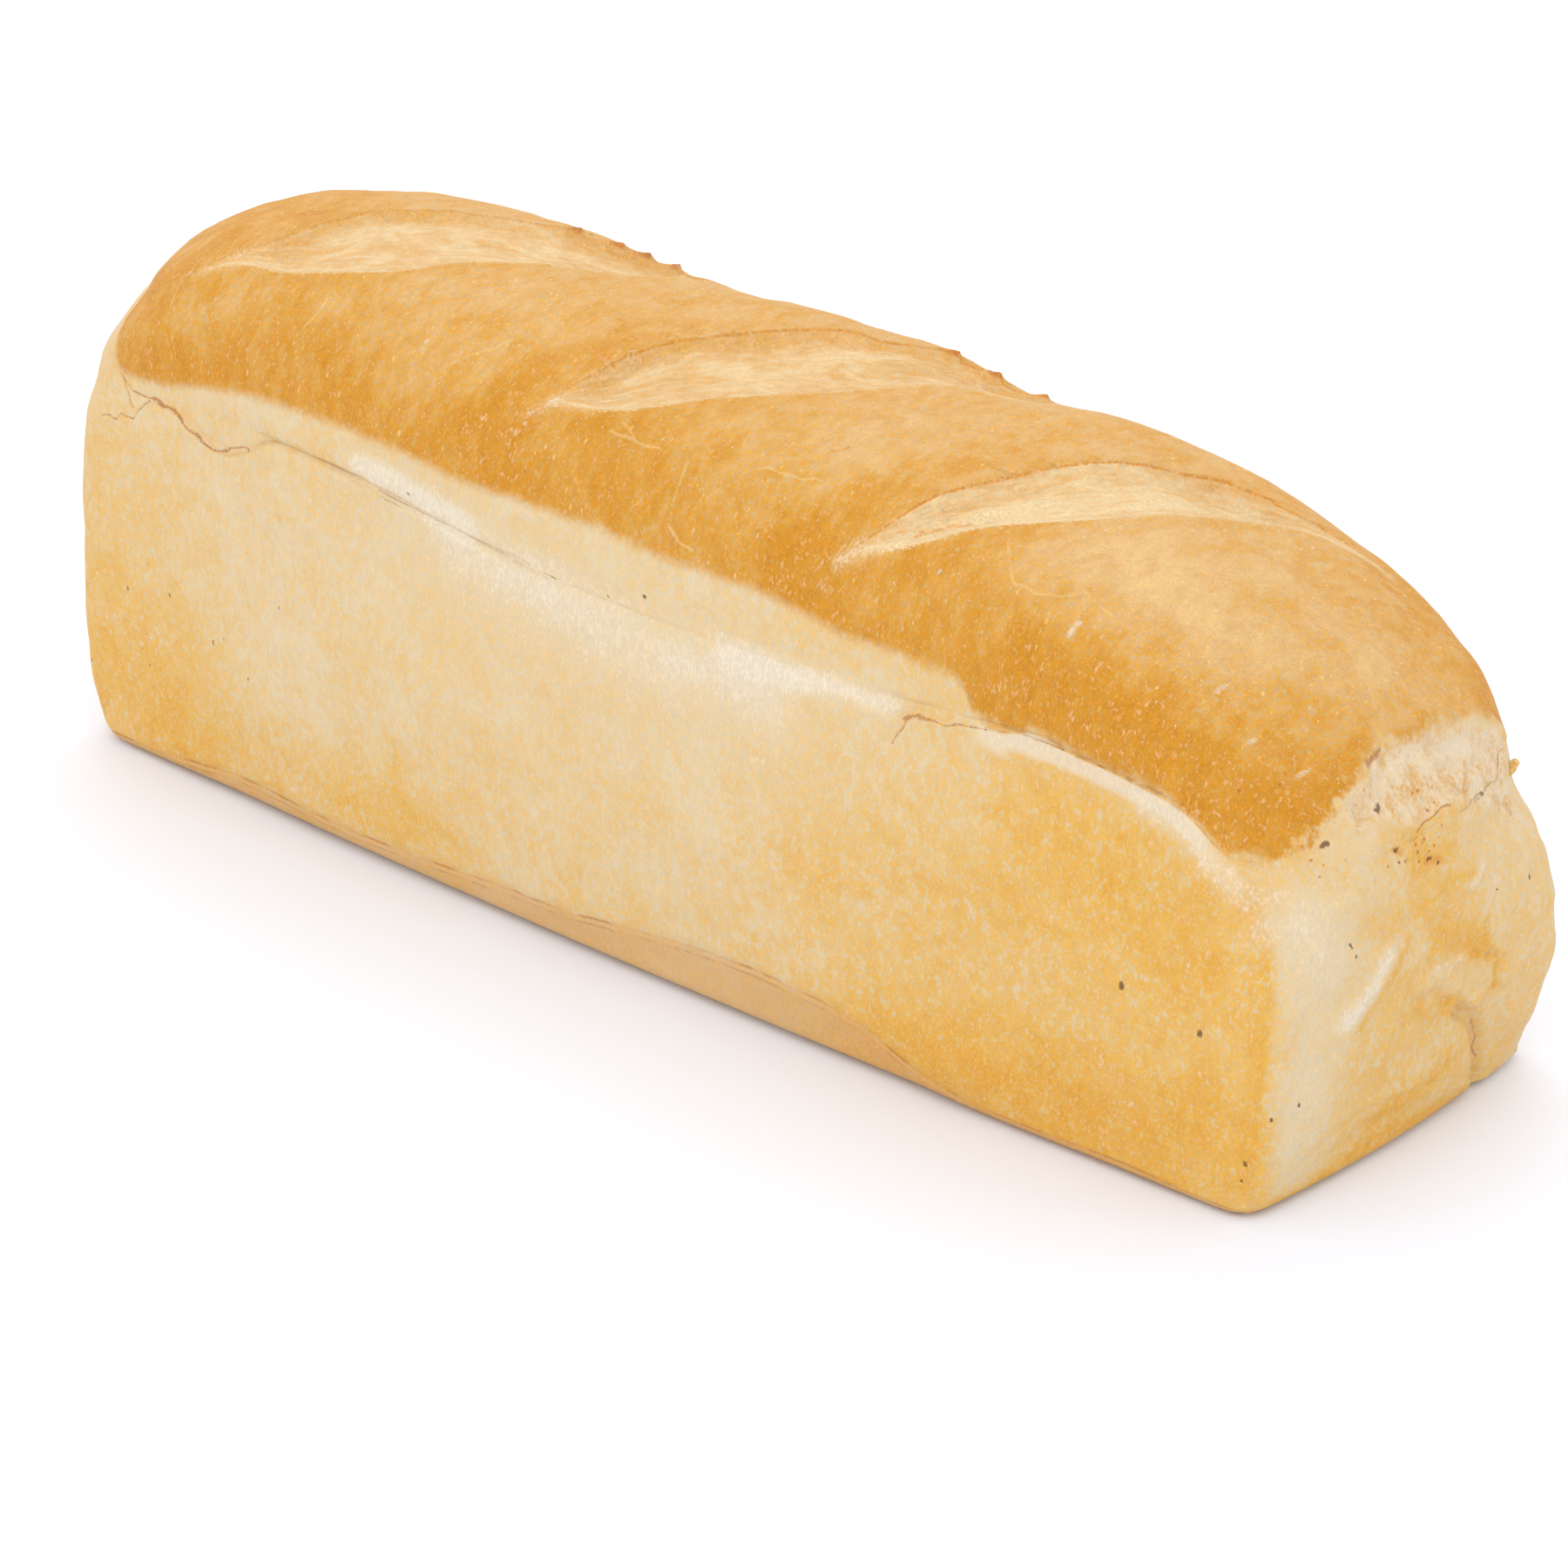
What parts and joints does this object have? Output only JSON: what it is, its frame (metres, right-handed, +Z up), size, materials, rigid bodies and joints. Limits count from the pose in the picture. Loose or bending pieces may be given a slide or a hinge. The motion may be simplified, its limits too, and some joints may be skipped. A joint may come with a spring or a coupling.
{
  "type": "tin loaf",
  "caption": "Long white loaf baked in an open tin, with flat pale sides, a seam at the tin's rim and a golden domed crown with slanting slashes.",
  "frame": {"origin": "centre of the loaf's flat base, on the surface it stands on", "axes": "+X along the loaf towards the end with the torn crust, +Y across it towards the back, +Z up"},
  "size_m": [0.4062, 0.1196, 0.1501],
  "materials": {
    "crust": "matte baked crust, golden brown on the crown and pale cream on the sides"
  },
  "bodies": {
    "root": {"loaf": "crust"}
  },
  "joints": []
}
